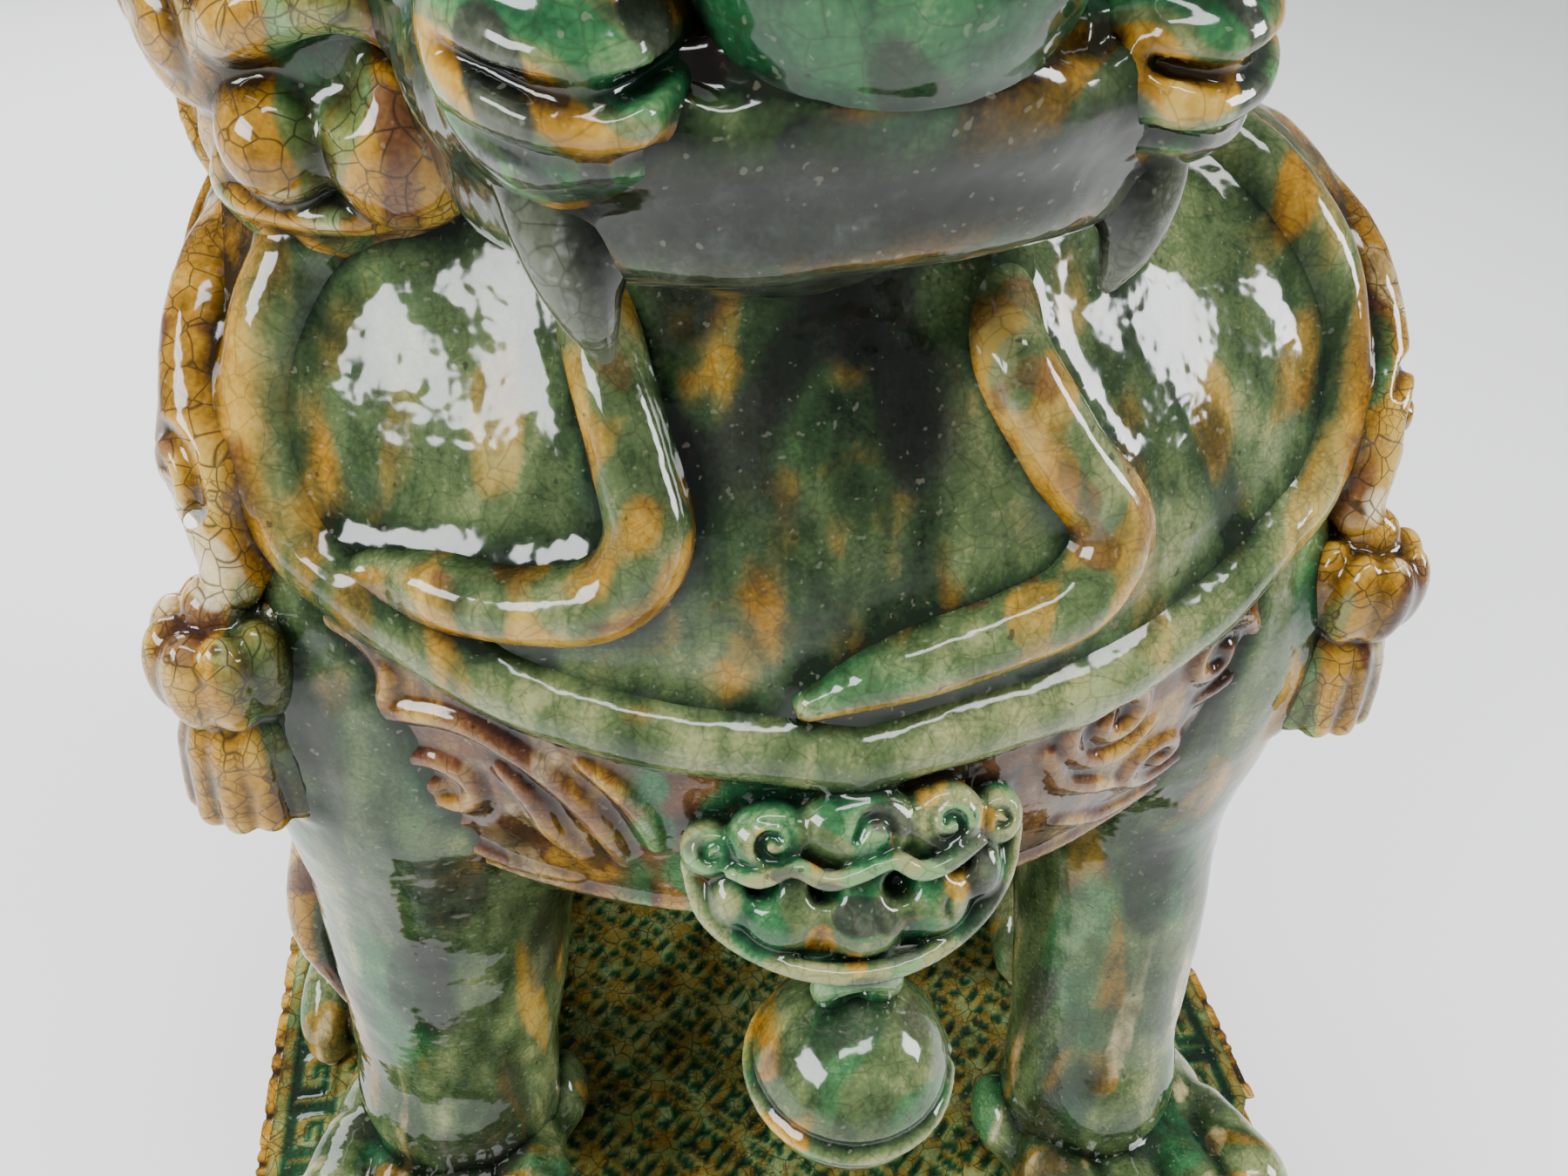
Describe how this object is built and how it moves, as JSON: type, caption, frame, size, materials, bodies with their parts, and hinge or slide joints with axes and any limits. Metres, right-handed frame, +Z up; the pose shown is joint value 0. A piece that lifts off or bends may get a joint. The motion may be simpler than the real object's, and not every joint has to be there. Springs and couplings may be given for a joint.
{
  "type": "foo dog statue",
  "caption": "Seated guardian lion in green, amber and brown glaze, with collar, bell and tassels, on a rectangular plinth draped with a patterned cloth.",
  "frame": {"origin": "centre of the plinth's base, on the surface that the statue stands on", "axes": "+Z up; the lion faces -Y; +X is to the right as seen from the front"},
  "size_m": [0.39, 0.458, 0.7104],
  "materials": {
    "green_glaze": "gloss",
    "amber_glaze": "gloss",
    "brown_glaze": "gloss",
    "cream_glaze": "gloss",
    "dark_glaze": "gloss",
    "eye_glaze": "gloss"
  },
  "bodies": {
    "root": {"bell_loop": "green_glaze", "body_back_half": "green_glaze", "body_front_half": "green_glaze", "cloth_back_flap": "amber_glaze", "cloth_front_flap": "amber_glaze", "cloth_left_flap": "amber_glaze", "cloth_right_flap": "amber_glaze", "cloth_top": "amber_glaze", "collar_medallion": "green_glaze", "collar_roll": "green_glaze", "crown_boss": "amber_glaze", "elbow_locks": "amber_glaze", "eyeballs": "eye_glaze", "fore_claws": "cream_glaze", "harness_bell": "green_glaze", "haunch_locks": "amber_glaze", "head_shell": "green_glaze", "hind_claws": "cream_glaze", "left_beard_lock": "green_glaze", "left_brow": "amber_glaze", "left_cheek_lock": "amber_glaze", "left_collar_band": "brown_glaze", "left_ear": "amber_glaze", "left_foreleg": "green_glaze", "left_forepaw": "green_glaze", "left_haunch": "green_glaze", "left_hind_paw": "green_glaze", "left_lip_lobe": "green_glaze", "left_mane": "amber_glaze", "left_shoulder_tassel": "amber_glaze", "left_strap_knot": "amber_glaze", "lower_jaw": "dark_glaze", "lower_teeth": "cream_glaze", "nape_mane": "amber_glaze", "nose": "green_glaze", "plinth_back_wall": "green_glaze", "plinth_front_wall": "green_glaze", "plinth_left_wall": "green_glaze", "plinth_right_wall": "green_glaze", "plinth_top_slab": "green_glaze", "right_beard_lock": "green_glaze", "right_brow": "amber_glaze", "right_cheek_lock": "amber_glaze", "right_collar_band": "brown_glaze", "right_ear": "amber_glaze", "right_foreleg": "green_glaze", "right_forepaw": "green_glaze", "right_haunch": "green_glaze", "right_hind_paw": "green_glaze", "right_lip_lobe": "green_glaze", "right_mane": "amber_glaze", "right_shoulder_tassel": "amber_glaze", "right_strap_knot": "amber_glaze", "tail_centre_lock": "amber_glaze", "tail_left_lock": "amber_glaze", "tail_right_lock": "amber_glaze", "tail_root": "amber_glaze", "tongue": "brown_glaze", "upper_fangs": "cream_glaze", "upper_teeth": "cream_glaze"}
  },
  "joints": []
}
